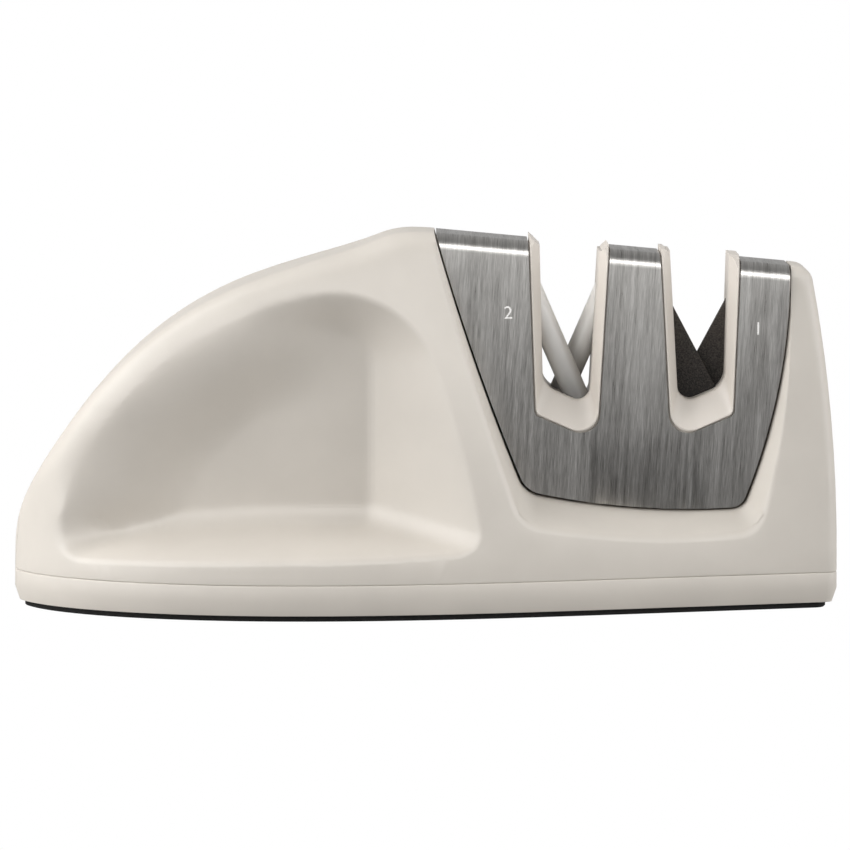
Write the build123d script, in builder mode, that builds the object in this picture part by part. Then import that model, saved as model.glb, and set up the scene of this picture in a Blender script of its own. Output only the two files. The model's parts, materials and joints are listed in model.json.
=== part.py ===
"""Two-stage pull-through knife sharpener, modelled piece by piece in millimetres.

X runs along the body from the nose (left) to the blunt end (right), -Y is the front,
+Z is up, and the origin lies under the middle of the body, on the table. The head's places
are measured along X from its datum, head_length before the blunt end, and the grip's from the nose.
"""

import os
from math import atan2, cos, radians, sin, tan

from build123d import *

# Overall body
body_length = 155.0
head_length = 77.5
crest_height = 70.5
foot_proud = 1.2
parting_height = 6.85
wall = 2.6

# Run of a cut past the piece it cuts, and the tolerance of a selection
overrun = 6.0
tiny = 0.01

# Side silhouette
nose_height = 11.0
crest_x = 2.0
dome_shares = [(0.060, 0.249), (0.249, 0.577), (0.535, 0.835), (0.849, 0.974)]
top_slope = 5.3
end_lean = 5.2
end_corner_radius = 3.4
dome_edge_radius = 6.5
end_edge_radius = 2.6

# Plan outline: half widths at the foot, at half height and above the crest
widest_x = -24.0
taper_x = 30.0
nose_overhang = 1.5
nose_rise_inset = 6.5
foot_half_widths = (30.0, 22.4, 9.6)
middle_half_widths = (23.6, 16.4, 7.6)
crest_half_widths = (8.5, 6.4, 6.6)
section_rise = 6.0
section_run_out = 6.0

# Finger scoops
scoop_back = 11.5
scoop_right_x = -10.0
scoop_top_drop = 15.9
scoop_left_reach = 17.5
scoop_left_height = 20.0
scoop_bow = 5.2
scoop_flare = 57.0
scoop_corner_radius = 6.0
scoop_inner_radius = 5.0
scoop_rim_radius = 1.8
floor_height = 16.8
floor_rim_height = 11.15
floor_drop = 6.5
floor_bend_x = -22.0

# Steel saddle
sheet = 0.6
saddle_half = 8.75
bend_radius = 3.0
saddle_gap = 0.35
saddle_left_x = 0.4
saddle_foot_left = (19.0, 22.0)
saddle_foot_right = (59.5, 19.0)
saddle_right_x = 68.0
saddle_left_bow = 1.0
saddle_foot_bow = 1.5
saddle_right_bow = 3.0
saddle_left_corner = 5.0
saddle_right_corner = 3.0
saddle_arc_rise = 6.0
tab_width = 9.0
tab_depth = 4.2
tab_x = 49.0

# Bezel: how far each side of the recess spreads between the saddle's face and the widest reach
bezel_reach = 31.0
bezel_turn = 14.3
bezel_left_spread = 0.9
bezel_foot_spread = 5.1
bezel_right_spread = 3.4

# Slots, drawn for the fine one; the coarse one is its mirror image
slot_mirror_x = 39.3
slot_left_x = 19.0
slot_left_foot = (20.5, 36.3)
slot_right_foot = (32.6, 31.2)
slot_right_x = 35.2
slot_left_corner = 1.4
slot_right_corner = 3.7
throat_left_x = 21.3
throat_left_foot = (22.2, 41.6)
throat_right_foot = (30.9, 37.9)
throat_right_x = 33.2
throat_left_corner = 4.0
throat_right_corner = 2.4
flare_depth = 3.2
lip_rise = 1.0
lip_gap = 0.3
lip_edge = 0.15
lip_chamfer = 1.6

# Cartridge
cartridge_clearance = 0.15
cartridge_inset = sheet + cartridge_clearance

# Ceramic rods of the fine stage
rod_diameter = 4.6
rod_length = 32.0
rod_lean = 23.5
rod_cross = (27.1, 42.8)
rod_low_share = 0.31
rod_offset = 2.42
rod_clearance = 0.06
rod_end_gap = 0.3
rod_chamfer = 0.4

# Tablets of the coarse stage
blade_lean = 28.0
blade_valley = (51.5, 47.4)
blade_length = 25.0
blade_low_share = 0.5
blade_width = 8.6
blade_thickness = 2.0
blade_offset = 0.05
blade_clearance = 0.08

# Screws
thread_clearance = 0.05
screw_clearance = 0.15
cartridge_screw_places = [(16.0, 42.5), (39.3, 27.0), (62.3, 37.5)]
cartridge_screw_diameter = 2.2
cartridge_screw_head = 4.2
cartridge_screw_head_height = 1.6
cartridge_screw_seat = 4.6
cartridge_screw_bite = 6.0
mount_screw_places = [(32.0, -4.3), (40.0, 4.3)]
mount_screw_diameter = 2.6
mount_screw_head = 5.0
mount_screw_head_height = 1.9
mount_screw_bite = 4.8
mount_grip = 3.6
standoff_diameter = 6.0
standoff_height = 20.2
base_screw_nose_reach = 35.5
base_screw_head_x = 22.0
base_screw_half_pitch = 8.0
base_screw_diameter = 2.6
base_screw_head = 5.2
base_screw_head_height = 1.3
base_screw_bite = 8.0
boss_diameter = 6.4
boss_height = 12.5
screw_recess_share = 0.45
screw_slot_share = 0.16
screw_recess_depth_share = 0.6

# Base tray and foot
band_chamfer_height = 2.6
band_chamfer_inset = 0.9
tray_floor = 2.4
foot_thickness = 2.0
foot_inset = 2.0
foot_clearance = 0.15
foot_chamfer = 0.3
tongue_half_width = 5.6
tongue_height = 21.0
tongue_thickness = 3.4
tongue_gap = 0.15

# Worked-out places
nose_x = head_length - body_length
end_x = head_length
scoop_left_x = nose_x + scoop_left_reach
scoop_top_height = crest_height - scoop_top_drop
floor_fall = atan2(floor_height - floor_rim_height, foot_half_widths[0] - scoop_back)
base_screw_places = [
    (x, y)
    for x in (nose_x + base_screw_nose_reach, base_screw_head_x)
    for y in (base_screw_half_pitch, -base_screw_half_pitch)
]
loft_top = crest_height + section_rise
through = 4 * foot_half_widths[0]
body_sections = [
    (foot_proud, 0, foot_half_widths),
    ((foot_proud + loft_top) / 2, nose_rise_inset / 2, middle_half_widths),
    (loft_top, nose_rise_inset, crest_half_widths),
]
section_end_x = end_x + section_run_out
slope = tan(radians(top_slope))
recess_height = foot_thickness
tray_top_of_floor = recess_height + tray_floor
rear_plane = Plane.XZ.offset(-through / 2)


def top_line(x):
    """Height of the straight top of the head at x."""
    return crest_height - slope * (x - crest_x)


def saddle_foot_line(x):
    """Height of the saddle's bowed lower edge at x."""
    left_x, left_z = saddle_foot_left
    right_x, right_z = saddle_foot_right
    along = (x - left_x) / (right_x - left_x)
    return left_z + (right_z - left_z) * along - 4 * saddle_foot_bow * along * (1 - along)


saddle_inner = saddle_half - sheet
tab_height = saddle_foot_line(tab_x) + tiny
cartridge_half = saddle_inner - cartridge_clearance
cartridge_side_fill = cartridge_inset + saddle_gap - cartridge_clearance
run_in = saddle_left_x - overrun
top_plane = Plane(
    origin=(run_in, 0, top_line(run_in)),
    x_dir=(0, 1, 0),
    z_dir=(cos(radians(top_slope)), 0, -sin(radians(top_slope))),
)


def draw_plan(nose, half_widths, right):
    """Draw a boat-shaped plan outline: elliptical nose on the left, blunt end on the right."""
    wide, mid, end = half_widths
    with BuildLine() as outline:
        EllipticalCenterArc((widest_x, 0), widest_x - nose, wide, start_angle=90, arc_size=180)
        Spline(
            (widest_x, -wide), (taper_x, -mid), (right, -end),
            tangents=[(1, 0), (right - taper_x, mid - end)],
        )
        Line((right, -end), (right, end))
        Spline(
            (right, end), (taper_x, mid), (widest_x, wide),
            tangents=[(taper_x - right, mid - end), (-1, 0)],
        )
    make_face(outline.edges())


def draw_side(sketch, inset):
    """Draw the side silhouette, set in from the outside by inset."""
    nose = nose_x + inset
    right = end_x - inset
    run = crest_x - nose
    rise = crest_height - inset - nose_height
    dome = [(nose + run * along, nose_height + rise * up) for along, up in dome_shares]
    corner_x = end_x - end_lean - inset
    with BuildLine() as outline:
        Line((nose, 0), (nose, nose_height))
        Spline(
            (nose, nose_height), *dome, (crest_x, crest_height - inset),
            tangents=[(0, 1), (1, -slope)],
        )
        Line((crest_x, crest_height - inset), (corner_x, top_line(corner_x) - inset))
        TangentArc((right, nose_height), (corner_x, top_line(corner_x) - inset), tangent=(0, 1))
        Line((right, nose_height), (right, 0))
        Line((right, 0), (nose, 0))
    make_face(outline.edges())
    corner = (corner_x, top_line(corner_x) - inset)
    fillet(sketch.vertices().sort_by_distance(corner)[0], end_corner_radius - inset)


def draw_keystone(sketch, grow, left=0, foot=0, right=0, stretch=1):
    """Draw the saddle's outline, open-topped past the crest, grown all round and on each side."""
    low_left = (stretch * (saddle_foot_left[0] - grow - left), saddle_foot_left[1] - grow - foot)
    low_right = (stretch * (saddle_foot_right[0] + grow + right), saddle_foot_right[1] - grow - foot)
    high_left = (stretch * (saddle_left_x - grow - left), top_line(saddle_left_x) + saddle_arc_rise)
    high_right = (stretch * (saddle_right_x + grow + right), top_line(saddle_right_x) + saddle_arc_rise)
    with BuildLine() as outline:
        SagittaArc(high_left, low_left, -saddle_left_bow)
        SagittaArc(low_left, low_right, -saddle_foot_bow)
        SagittaArc(low_right, high_right, -saddle_right_bow)
        Line(high_right, high_left)
    make_face(outline.edges())
    fillet(sketch.vertices().sort_by_distance(low_left)[0], saddle_left_corner + grow + left)
    fillet(sketch.vertices().sort_by_distance(low_right)[0], saddle_right_corner + grow + right)


def draw_slot(shrink, wide):
    """Draw the fine slot's outline: the saddle's cut-out if wide, else the throat between the lips."""
    if wide:
        left, right = slot_left_x, slot_right_x
        low_left, low_right = slot_left_foot, slot_right_foot
        radii = (slot_left_corner, slot_right_corner)
    else:
        left, right = throat_left_x, throat_right_x
        low_left, low_right = throat_left_foot, throat_right_foot
        radii = (throat_left_corner, throat_right_corner)
    with BuildLine() as outline:
        FilletPolyline(
            (left + shrink, loft_top),
            (low_left[0] + shrink, low_left[1] + shrink),
            (low_right[0] - shrink, low_right[1] + shrink),
            (right - shrink, loft_top),
            radius=radii,
        )
        Line((right - shrink, loft_top), (left + shrink, loft_top))
    make_face(outline.edges())


def scoop_cutter(grow):
    """Room of the front finger scoop, grown by a wall: back plane, flared sides and falling floor."""
    back = scoop_back - grow
    high = (scoop_right_x + grow, scoop_top_height + grow)
    low = (scoop_left_x - grow, scoop_left_height)
    with BuildPart() as cutter:
        with BuildSketch(Plane.XZ.offset(back)) as back_wall:
            with BuildLine():
                SagittaArc(high, low, -scoop_bow)
                Polyline(low, (low[0], 0), (high[0], 0), high)
            make_face()
            fillet(back_wall.vertices().group_by(Axis.Y)[-1], scoop_corner_radius + grow)
        extrude(amount=foot_half_widths[0], taper=-scoop_flare)
        with BuildSketch(Plane.XZ) as above_floor:
            with BuildLine():
                level = floor_height - grow + scoop_back * tan(floor_fall)
                TangentArc((floor_bend_x, level), (nose_x, level - floor_drop), tangent=(-1, 0))
                Polyline(
                    (nose_x, level - floor_drop), (nose_x, loft_top + through),
                    (end_x, loft_top + through), (end_x, level), (floor_bend_x, level),
                )
            make_face()
        extrude(
            amount=through,
            dir=(0, -cos(floor_fall), -sin(floor_fall)),
            mode=Mode.INTERSECT,
        )
        back_edges = cutter.edges().filter_by(lambda e: abs(e.center().Y + back) < tiny)
        floor_edges = cutter.edges().filter_by(
            lambda e: e.center().Z < floor_height and back + tiny < -e.center().Y < foot_half_widths[0]
        )
        fillet(back_edges + floor_edges, scoop_inner_radius)
        mirror(about=Plane.XZ)
    return cutter.part


def bezel_cutter(grow):
    """Sloped recess round the saddle, front and rear, grown by a wall.

    Its wide end lies in an upright plane that is turned to follow the body's tapering side.
    """
    turn = radians(bezel_turn)
    side_plane = Plane(
        origin=(0, -bezel_reach, 0),
        x_dir=(cos(turn), sin(turn), 0),
        z_dir=(sin(turn), -cos(turn), 0),
    )
    with BuildPart() as cutter:
        with BuildSketch(Plane.XZ.offset(saddle_inner - grow)) as narrow:
            draw_keystone(narrow, saddle_gap + grow)
        with BuildSketch(side_plane) as wide:
            draw_keystone(
                wide, saddle_gap + grow, bezel_left_spread, bezel_foot_spread, bezel_right_spread,
                stretch=1 / cos(turn),
            )
        loft()
        mirror(about=Plane.XZ)
    return cutter.part


def tongue_prism(gap):
    """Prism along X whose section is the upright tongue with its round top, grown by a gap."""
    with BuildPart() as prism:
        with BuildSketch(Plane.YZ.offset(nose_x - overrun)):
            with Locations((0, parting_height - tray_floor)):
                SlotOverall(
                    2 * (tongue_height - parting_height + tray_floor + gap),
                    2 * (tongue_half_width + gap),
                    rotation=90,
                )
        extrude(amount=overrun + tongue_thickness + gap)
    return prism.part


def draw_run(sketch, half, drop, radius):
    """Draw the section under the head's top line: a half-width, a drop from the top, round corners."""
    with Locations((0, -drop)):
        Rectangle(2 * half, crest_height, align=(Align.CENTER, Align.MAX))
    fillet(sketch.vertices().group_by(Axis.Y)[-1], radius)


def both_slots(shrink, wide):
    """Draw the fine slot and its mirror image, the coarse slot."""
    draw_slot(shrink, wide)
    mirror(about=Plane.YZ.offset(slot_mirror_x))


def draw_foot_plan(sketch, inset, corner):
    """Draw the plan of the base, set in all round, with its two corners at the blunt end rounded."""
    draw_plan(nose_x - nose_overhang + inset, [half - inset for half in foot_half_widths], section_end_x)
    with Locations((nose_x + inset, 0)):
        Rectangle(
            body_length - 2 * inset, through, align=(Align.MIN, Align.CENTER), mode=Mode.INTERSECT,
        )
    if corner:
        fillet(sketch.vertices().group_by(Axis.X)[-1], corner)


def draw_lead_in():
    """Draw the widening at the fine slot's mouth, 45 degrees on both lips."""
    left_top = top_line(throat_left_x) + lip_rise
    right_top = top_line(throat_right_x) + lip_rise
    with BuildLine() as outline:
        Polyline(
            (throat_left_x - lip_chamfer - overrun, left_top + overrun),
            (throat_left_x, left_top - lip_chamfer),
            (throat_right_x, right_top - lip_chamfer),
            (throat_right_x + lip_chamfer + overrun, right_top + overrun),
            close=True,
        )
    make_face(outline.edges())


def rod_plane(side, gap):
    """Plane across the lower end of a ceramic rod: the front one (-1) leans left, the rear one right."""
    lean = radians(rod_lean)
    low = rod_length * rod_low_share + gap
    return Plane(
        origin=(rod_cross[0] - side * low * sin(lean), side * rod_offset, rod_cross[1] - low * cos(lean)),
        x_dir=(0, 1, 0),
        z_dir=(side * sin(lean), 0, cos(lean)),
    )


def draw_blade(side, grow):
    """Draw a coarse tablet: its top edge leans left (-1) or right (1) and makes one side of the valley."""
    lean = radians(blade_lean)
    along = Vector(side * sin(lean), cos(lean))
    across = Vector(side * cos(lean), -sin(lean))
    valley = Vector(*blade_valley)
    high = blade_length * (1 - blade_low_share) + grow
    low = blade_length * blade_low_share + grow
    with BuildLine() as outline:
        Polyline(
            valley + along * high - across * grow, valley + along * high + across * (blade_width + grow),
            valley - along * low + across * (blade_width + grow), valley - along * low - across * grow,
            close=True,
        )
    make_face(outline.edges())


def cut_cross(head, height):
    """Cut a cross recess into the head of a screw that is seen from below."""
    for turn in (0, 90):
        Box(
            head * screw_recess_share, head * screw_slot_share, 2 * height * screw_recess_depth_share,
            rotation=(0, 0, turn), mode=Mode.SUBTRACT,
        )


# Whole outer body, with the notch for the cartridge, before it is parted into shell and base
with BuildPart() as outer_body:
    for height, rise, half_widths in body_sections:
        with BuildSketch(Plane.XY.offset(height)):
            draw_plan(nose_x - nose_overhang + rise, half_widths, section_end_x)
    loft()
    with BuildSketch(rear_plane) as silhouette:
        draw_side(silhouette, 0)
    extrude(amount=through, mode=Mode.INTERSECT)
    with BuildSketch(rear_plane) as notch:
        draw_keystone(notch, saddle_gap)
    extrude(amount=through, mode=Mode.SUBTRACT)
    long_edges = outer_body.edges().filter_by(
        lambda e: abs(e.center().Y) > saddle_gap and e.center().Z > foot_proud + tiny
    )
    fillet(
        long_edges.filter_by(
            lambda e: e.center().X < saddle_left_x and abs(e.center().X - widest_x) > saddle_gap
        ),
        dome_edge_radius,
    )
    fillet(
        outer_body.edges().filter_by(
            lambda e: e.center().X > saddle_right_x and e.center().Z > foot_proud + tiny
            and abs(e.center().Y) > saddle_inner
        ),
        end_edge_radius,
    )

# Hollow of the shell, which leaves a wall behind the scoops, the notch and the bezel
scoop_room = scoop_cutter(wall)
bezel_room = bezel_cutter(wall)
with BuildPart() as hollow:
    for height, rise, half_widths in body_sections:
        with BuildSketch(Plane.XY.offset(height)):
            draw_plan(
                nose_x - nose_overhang + rise + wall, [half - wall for half in half_widths],
                section_end_x,
            )
    loft()
    with BuildSketch(rear_plane) as inner_side:
        draw_side(inner_side, wall)
    extrude(amount=through, mode=Mode.INTERSECT)
    with BuildSketch(rear_plane) as inner_notch:
        draw_keystone(inner_notch, saddle_gap + wall)
    extrude(amount=through, mode=Mode.SUBTRACT)
    add(scoop_room, mode=Mode.SUBTRACT)
    add(bezel_room, mode=Mode.SUBTRACT)

scoops = scoop_cutter(0)
bezels = bezel_cutter(0)
with BuildPart() as body_shell:
    add(outer_body.part)
    split(bisect_by=Plane.XY.offset(parting_height), keep=Keep.TOP)
    add(scoops, mode=Mode.SUBTRACT)
    outer_faces = outer_body.faces()
    fillet(
        body_shell.edges(Select.LAST).filter_by(
            lambda e: min(face.distance_to(e @ 0.5) for face in outer_faces) < tiny
        ),
        scoop_rim_radius,
    )
    add(bezels, mode=Mode.SUBTRACT)
    add(hollow.part, mode=Mode.SUBTRACT)
    add(tongue_prism(tongue_gap), mode=Mode.SUBTRACT)
    with BuildSketch(Plane.XY.offset(parting_height)):
        with Locations(*base_screw_places):
            Circle(boss_diameter / 2)
    extrude(amount=boss_height)
    with BuildSketch(Plane.XY.offset(standoff_height)):
        with Locations(*mount_screw_places):
            Circle(standoff_diameter / 2)
    extrude(amount=-wall)
    with BuildSketch(Plane.XY.offset(parting_height)):
        with Locations(*base_screw_places):
            Circle(base_screw_diameter / 2 + thread_clearance)
    extrude(amount=base_screw_bite + screw_clearance, mode=Mode.SUBTRACT)
    with BuildSketch(Plane.XY.offset(standoff_height)):
        with Locations(*mount_screw_places):
            Circle(mount_screw_diameter / 2 + screw_clearance)
    extrude(amount=-overrun, mode=Mode.SUBTRACT)
    with BuildSketch(Plane.XY.offset(standoff_height - mount_grip)):
        with Locations(*mount_screw_places):
            Circle(mount_screw_head / 2 + screw_clearance)
    extrude(amount=-overrun, mode=Mode.SUBTRACT)

# Base tray: the band under the parting line, with the tongue, a foot recess and screw seats
with BuildPart() as tongue:
    add(outer_body.part)
    add(tongue_prism(0), mode=Mode.INTERSECT)
with BuildPart() as base_tray:
    add(outer_body.part)
    split(bisect_by=Plane.XY.offset(parting_height), keep=Keep.BOTTOM)
    with BuildSketch(Plane.XY.offset(tray_top_of_floor)) as tray_room:
        draw_foot_plan(tray_room, wall, 0)
    extrude(amount=overrun, mode=Mode.SUBTRACT)
    add(tongue.part)
    chamfer(
        base_tray.faces().sort_by(Axis.Z)[0].edges(), band_chamfer_inset, band_chamfer_height,
        reference=base_tray.faces().sort_by(Axis.Z)[0],
    )
    with BuildSketch(Plane.XY) as recess:
        draw_foot_plan(recess, foot_inset - foot_clearance, end_edge_radius)
    extrude(amount=recess_height, mode=Mode.SUBTRACT)
    with BuildSketch(Plane.XY.offset(recess_height)):
        with Locations(*base_screw_places):
            Circle(boss_diameter / 2)
    extrude(amount=parting_height - recess_height)
    with Locations(*[(x, y, recess_height) for x, y in base_screw_places]):
        Cylinder(
            base_screw_diameter / 2 + screw_clearance, parting_height,
            align=(Align.CENTER, Align.CENTER, Align.MIN), mode=Mode.SUBTRACT,
        )
        Cone(
            base_screw_head / 2 + screw_clearance, base_screw_diameter / 2 + screw_clearance,
            base_screw_head_height, align=(Align.CENTER, Align.CENTER, Align.MIN), mode=Mode.SUBTRACT,
        )

# Rubber foot
with BuildPart() as rubber_foot:
    with BuildSketch(Plane.XY) as pad:
        draw_foot_plan(pad, foot_inset, end_edge_radius)
    extrude(amount=foot_thickness)
    chamfer(rubber_foot.faces().sort_by(Axis.Z)[0].edges(), foot_chamfer)

# Screws up through the base: countersunk heads, hidden by the foot
with BuildPart() as base_screws:
    with Locations(*[(x, y, recess_height) for x, y in base_screw_places]):
        Cone(
            base_screw_head / 2, base_screw_diameter / 2, base_screw_head_height,
            align=(Align.CENTER, Align.CENTER, Align.MIN),
        )
        Cylinder(
            base_screw_diameter / 2, parting_height - recess_height + base_screw_bite,
            align=(Align.CENTER, Align.CENTER, Align.MIN),
        )
        cut_cross(base_screw_head, base_screw_head_height)

# Steel saddle: sheet folded over the head, with open-top cut-outs and a tab under each leg
with BuildPart() as steel_saddle:
    with BuildSketch(top_plane) as fold:
        draw_run(fold, saddle_half, 0, bend_radius)
    extrude(amount=body_length)
    with BuildSketch(top_plane) as inside:
        draw_run(inside, saddle_inner, sheet, bend_radius - sheet)
    extrude(amount=body_length, mode=Mode.SUBTRACT)
    with BuildSketch(rear_plane) as outline:
        draw_keystone(outline, 0)
    extrude(amount=through, mode=Mode.INTERSECT)
    with BuildSketch(rear_plane):
        both_slots(0, True)
    extrude(amount=through, mode=Mode.SUBTRACT)
    with Locations((tab_x, -saddle_half, tab_height)):
        Box(tab_width, tab_depth, sheet, align=(Align.CENTER, Align.MIN, Align.MIN))
    with Locations((tab_x, saddle_half, tab_height)):
        Box(tab_width, tab_depth, sheet, align=(Align.CENTER, Align.MAX, Align.MIN))

# Flares of the slot lips, front and rear
with BuildPart() as lip_flares:
    with BuildSketch(Plane.XZ.offset(saddle_half - flare_depth)):
        draw_slot(0, False)
    with BuildSketch(Plane.XZ.offset(saddle_half + tiny)):
        draw_slot(lip_gap + lip_edge, True)
    loft()
    mirror(about=Plane.YZ.offset(slot_mirror_x))
    mirror(about=Plane.XZ)

# Lips round the slots, which stand through the saddle's cut-outs
with BuildPart() as lips:
    with BuildSketch(Plane.XZ.offset(-saddle_half)):
        both_slots(lip_gap, True)
    extrude(amount=2 * saddle_half)
    with BuildSketch(top_plane) as over_sheet:
        draw_run(over_sheet, saddle_half, -lip_rise, bend_radius + lip_rise)
    extrude(amount=body_length, mode=Mode.INTERSECT)

# Whole cartridge, before it is parted into a front and a rear half
with BuildPart() as cartridge:
    with BuildSketch(Plane.XZ.offset(-cartridge_half)) as block:
        draw_keystone(block, -cartridge_inset, left=cartridge_side_fill, right=cartridge_side_fill)
    extrude(amount=2 * cartridge_half)
    with BuildSketch(top_plane) as under_sheet:
        draw_run(under_sheet, cartridge_half, cartridge_inset, bend_radius - cartridge_inset)
    extrude(amount=body_length, mode=Mode.INTERSECT)
    add(lips.part)
    with BuildSketch(rear_plane):
        both_slots(0, False)
    extrude(amount=through, mode=Mode.SUBTRACT)
    add(lip_flares.part, mode=Mode.SUBTRACT)
    with BuildSketch(rear_plane):
        draw_lead_in()
        mirror(about=Plane.YZ.offset(slot_mirror_x))
    extrude(amount=through, mode=Mode.SUBTRACT)
    with BuildSketch(Plane.XY.offset(standoff_height)):
        with Locations(*mount_screw_places):
            Circle(standoff_diameter / 2 + cartridge_clearance)
    extrude(amount=-overrun, mode=Mode.SUBTRACT)
    with BuildSketch(Plane.XY.offset(standoff_height)):
        with Locations(*mount_screw_places):
            Circle(mount_screw_diameter / 2 + thread_clearance)
    extrude(amount=mount_screw_bite + screw_clearance, mode=Mode.SUBTRACT)

with BuildPart() as cartridge_front_half:
    add(cartridge.part)
    split(bisect_by=Plane.XZ, keep=Keep.TOP)
    with BuildSketch(rod_plane(-1, rod_end_gap)):
        Circle(rod_diameter / 2 + rod_clearance)
        Rectangle(rod_offset, rod_diameter + 2 * rod_clearance, align=(Align.MIN, Align.CENTER))
    extrude(amount=rod_length + 2 * rod_end_gap, mode=Mode.SUBTRACT)
    with BuildSketch(Plane.XZ):
        draw_blade(-1, blade_clearance)
    extrude(amount=blade_offset + blade_thickness + blade_clearance, mode=Mode.SUBTRACT)
    with BuildSketch(Plane.XZ):
        with Locations(*cartridge_screw_places):
            Circle(cartridge_screw_diameter / 2 + screw_clearance)
    extrude(amount=saddle_half, mode=Mode.SUBTRACT)
    with BuildSketch(Plane.XZ.offset(cartridge_screw_seat)):
        with Locations(*cartridge_screw_places):
            Circle(cartridge_screw_head / 2 + screw_clearance)
    extrude(amount=saddle_half, mode=Mode.SUBTRACT)

with BuildPart() as cartridge_rear_half:
    add(cartridge.part)
    split(bisect_by=Plane.XZ, keep=Keep.BOTTOM)
    with BuildSketch(rod_plane(1, rod_end_gap)):
        Circle(rod_diameter / 2 + rod_clearance)
        Rectangle(rod_offset, rod_diameter + 2 * rod_clearance, align=(Align.MAX, Align.CENTER))
    extrude(amount=rod_length + 2 * rod_end_gap, mode=Mode.SUBTRACT)
    with BuildSketch(Plane.XZ):
        draw_blade(1, blade_clearance)
    extrude(amount=-blade_offset - blade_thickness - blade_clearance, mode=Mode.SUBTRACT)
    with BuildSketch(Plane.XZ):
        with Locations(*cartridge_screw_places):
            Circle(cartridge_screw_diameter / 2 + thread_clearance)
    extrude(amount=-cartridge_screw_bite - screw_clearance, mode=Mode.SUBTRACT)

# Screws that clamp the two halves
with BuildPart() as cartridge_screws:
    with BuildSketch(Plane.XZ.offset(cartridge_screw_seat)):
        with Locations(*cartridge_screw_places):
            Circle(cartridge_screw_diameter / 2)
    extrude(amount=-cartridge_screw_seat - cartridge_screw_bite)
    with BuildSketch(Plane.XZ.offset(cartridge_screw_seat)):
        with Locations(*cartridge_screw_places):
            Circle(cartridge_screw_head / 2)
    extrude(amount=cartridge_screw_head_height)

# Screws that hold the cartridge down, from inside the shell
with BuildPart() as cartridge_mount_screws:
    with BuildSketch(Plane.XY.offset(standoff_height + mount_screw_bite)):
        with Locations(*mount_screw_places):
            Circle(mount_screw_diameter / 2)
    extrude(amount=-mount_screw_bite - mount_grip)
    with BuildSketch(Plane.XY.offset(standoff_height - mount_grip)):
        with Locations(*mount_screw_places):
            Circle(mount_screw_head / 2)
    extrude(amount=-mount_screw_head_height)

# Ceramic rods
rods = []
for side in (-1, 1):
    with BuildPart() as rod:
        with BuildSketch(rod_plane(side, 0)):
            Circle(rod_diameter / 2)
        extrude(amount=rod_length)
        chamfer(rod.edges().filter_by(GeomType.CIRCLE), rod_chamfer)
    rods.append(rod.part)

# Coarse tablets
blades = []
for side in (-1, 1):
    with BuildPart() as blade:
        with BuildSketch(Plane.XZ.offset(-side * blade_offset)):
            draw_blade(side, 0)
        extrude(amount=-side * blade_thickness)
    blades.append(blade.part)

os.makedirs("parts", exist_ok=True)
pieces = {
    "body_shell": body_shell.part,
    "base_tray": base_tray.part,
    "rubber_foot": rubber_foot.part,
    "base_screws": base_screws.part,
    "steel_saddle": steel_saddle.part,
    "cartridge_front_half": cartridge_front_half.part,
    "cartridge_rear_half": cartridge_rear_half.part,
    "cartridge_screws": cartridge_screws.part,
    "cartridge_mount_screws": cartridge_mount_screws.part,
    "fine_rod_front": rods[0],
    "fine_rod_rear": rods[1],
    "coarse_blade_front": blades[0],
    "coarse_blade_rear": blades[1],
}
centring = Pos(-(nose_x + end_x) / 2, 0, 0)
for name, piece in pieces.items():
    placed = centring * piece
    placed.label = name
    export_step(placed, f"parts/{name}.step")
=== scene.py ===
"""Dress the pull-through knife sharpener.

It holds the finishes, the softened mouldings, the etched numerals, the studio and the camera.
"""

import json
import logging
import math
from collections.abc import Callable, Mapping, Sequence
from dataclasses import dataclass
from enum import Enum
from typing import Any

import bmesh
import bpy
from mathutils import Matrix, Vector
from mathutils.geometry import convex_hull_2d, intersect_point_line

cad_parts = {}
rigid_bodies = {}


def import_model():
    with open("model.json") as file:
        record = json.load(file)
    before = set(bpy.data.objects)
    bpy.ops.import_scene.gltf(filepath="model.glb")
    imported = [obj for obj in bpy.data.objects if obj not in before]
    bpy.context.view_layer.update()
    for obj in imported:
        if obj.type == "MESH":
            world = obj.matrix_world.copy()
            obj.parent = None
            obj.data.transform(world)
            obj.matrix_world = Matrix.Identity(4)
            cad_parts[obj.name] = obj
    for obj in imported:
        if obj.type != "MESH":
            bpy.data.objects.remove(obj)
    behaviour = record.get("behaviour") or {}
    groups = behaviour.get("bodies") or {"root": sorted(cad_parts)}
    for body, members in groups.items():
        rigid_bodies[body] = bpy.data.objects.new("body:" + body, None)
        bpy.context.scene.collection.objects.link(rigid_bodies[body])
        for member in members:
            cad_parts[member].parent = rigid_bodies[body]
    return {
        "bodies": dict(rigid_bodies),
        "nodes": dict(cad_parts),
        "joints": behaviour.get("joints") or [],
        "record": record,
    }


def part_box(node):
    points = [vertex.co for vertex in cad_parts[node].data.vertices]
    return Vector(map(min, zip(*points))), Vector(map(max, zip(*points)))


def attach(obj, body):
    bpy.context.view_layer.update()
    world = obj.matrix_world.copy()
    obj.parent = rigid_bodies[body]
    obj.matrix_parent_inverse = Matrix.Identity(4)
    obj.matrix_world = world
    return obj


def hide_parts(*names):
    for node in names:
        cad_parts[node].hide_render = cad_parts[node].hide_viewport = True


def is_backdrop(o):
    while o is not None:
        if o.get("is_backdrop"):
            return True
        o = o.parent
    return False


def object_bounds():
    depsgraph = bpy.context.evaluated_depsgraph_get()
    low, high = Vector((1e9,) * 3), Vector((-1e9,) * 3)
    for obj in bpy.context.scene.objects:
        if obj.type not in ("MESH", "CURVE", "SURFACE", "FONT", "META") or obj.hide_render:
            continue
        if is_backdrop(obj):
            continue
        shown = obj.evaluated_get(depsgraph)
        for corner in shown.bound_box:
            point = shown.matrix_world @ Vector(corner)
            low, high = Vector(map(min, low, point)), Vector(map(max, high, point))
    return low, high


log = logging.getLogger("sharpener")

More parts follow.
